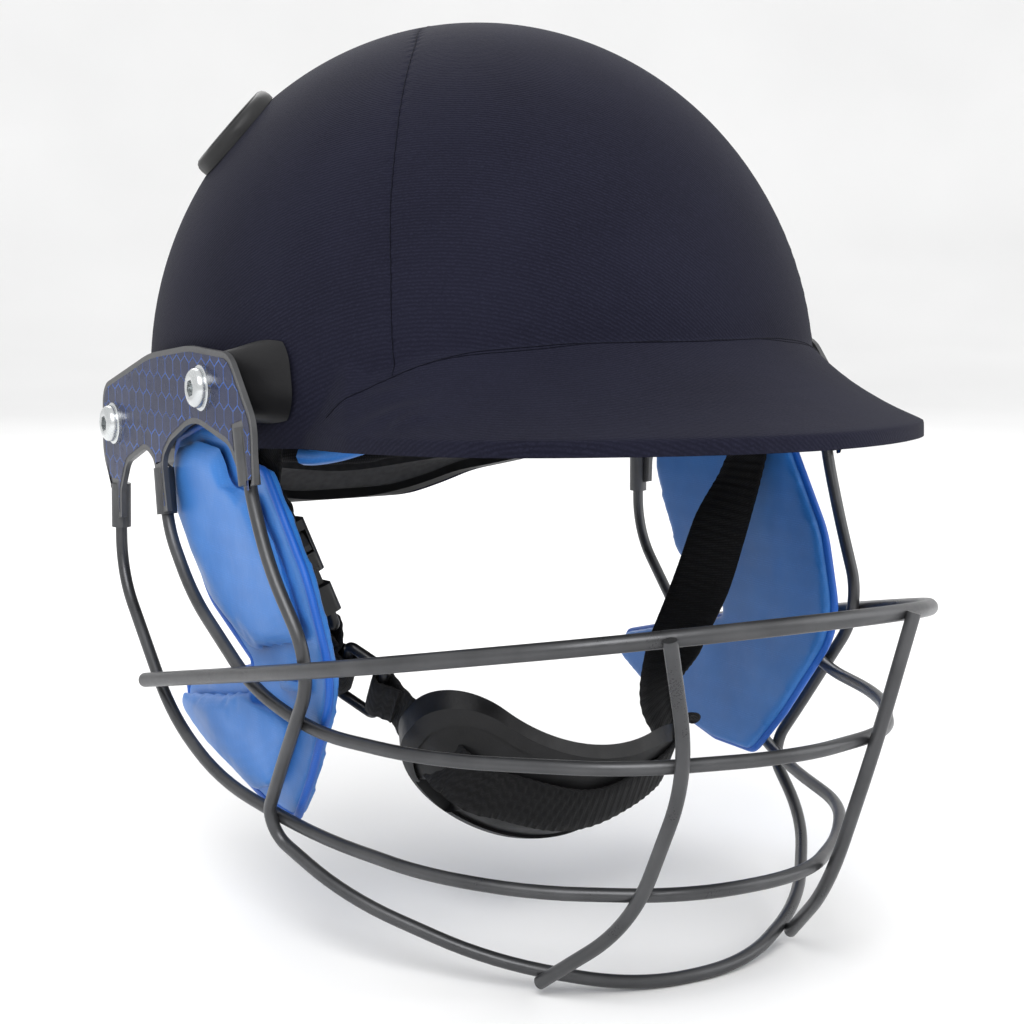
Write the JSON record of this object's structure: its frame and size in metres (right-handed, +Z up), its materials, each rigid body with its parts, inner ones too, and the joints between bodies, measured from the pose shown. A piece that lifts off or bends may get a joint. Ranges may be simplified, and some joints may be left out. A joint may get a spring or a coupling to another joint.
{
  "type": "cricket helmet",
  "caption": "Cricket helmet with a navy cloth-covered shell and peak, bolted steel face guard, blue cheek pads and a black chin strap.",
  "frame": {"origin": "on the symmetry plane at about the level of the shell's rear lower edge, under the crown", "axes": "+X towards the wearer's left, +Y towards the back of the head, +Z up; the peak points to -Y"},
  "size_m": [0.2258, 0.3191, 0.2875],
  "materials": {
    "navy_twill": "twill weave, stretched",
    "shell_black": "moulded",
    "liner_foam": "bead foam",
    "pad_blue": "knit over foam",
    "nape_black": "knit",
    "vent_rubber": "moulded, satin",
    "spacer_rubber": "moulded",
    "guard_steel": "graphite coat",
    "plate_steel": "graphite coat under a navy sheet",
    "bolt_steel": "machined",
    "nut_steel": "machined",
    "webbing_black": "ribbed webbing",
    "buckle_black": "moulded",
    "cup_rubber": "moulded, satin"
  },
  "bodies": {
    "helmet": {"cloth_cover": "navy_twill", "outer_shell": "shell_black", "impact_liner": "liner_foam", "brow_pad": "pad_blue", "crown_pad": "pad_blue", "rear_pad": "pad_blue", "nape_lining": "nape_black", "eye_bar": "guard_steel", "middle_rail": "guard_steel", "lower_rail": "guard_steel", "side_and_chin_rod": "guard_steel", "temple_pad_right": "pad_blue", "vent_grommet_right": "vent_rubber", "side_plate_right": "plate_steel", "front_spacer_right": "spacer_rubber", "rear_spacer_right": "spacer_rubber", "mount_bolts_right": "bolt_steel", "inner_nuts_right": "nut_steel", "upright_right": "guard_steel", "cheek_backing_right": "pad_blue", "cheek_upper_lobe_right": "pad_blue", "cheek_middle_lobe_right": "pad_blue", "cheek_lower_lobe_right": "pad_blue", "strap_rivet_right": "nut_steel", "temple_pad_left": "pad_blue", "vent_grommet_left": "vent_rubber", "side_plate_left": "plate_steel", "front_spacer_left": "spacer_rubber", "rear_spacer_left": "spacer_rubber", "mount_bolts_left": "bolt_steel", "inner_nuts_left": "nut_steel", "upright_left": "guard_steel", "cheek_backing_left": "pad_blue", "cheek_upper_lobe_left": "pad_blue", "cheek_middle_lobe_left": "pad_blue", "cheek_lower_lobe_left": "pad_blue", "strap_rivet_left": "nut_steel"},
    "chin_strap": {"near_tab": "webbing_black", "buckle_socket": "buckle_black", "buckle_prongs": "buckle_black", "adjuster_webbing": "webbing_black", "adjuster_ring": "buckle_black", "chin_webbing": "webbing_black", "chin_cup": "cup_rubber"},
    "arm_front": {"squeeze_arm_front": "buckle_black"},
    "arm_back": {"squeeze_arm_back": "buckle_black"}
  },
  "joints": [
    {"name": "strap_swing", "type": "hinge", "parent": "helmet", "child": "chin_strap", "pos_m": [0, -0.009, 0.032], "axis": [1, 0, 0], "range_deg": [-15, 40]},
    {"name": "squeeze_front", "type": "hinge", "parent": "chin_strap", "child": "arm_front", "pos_m": [-0.07778, -0.01504, -0.01599], "axis": [-0.9272, -0.0229, -0.3739], "range_deg": [0, 8], "stiffness_Nm_per_rad": 0.3},
    {"name": "squeeze_back", "type": "hinge", "parent": "chin_strap", "child": "arm_back", "pos_m": [-0.07778, 0.00512, -0.01722], "axis": [-0.9272, -0.0229, -0.3739], "range_deg": [-8, 0], "stiffness_Nm_per_rad": 0.3}
  ],
  "couplings": [
    {"joint": "squeeze_back", "follows": "squeeze_front", "ratio": -1}
  ]
}
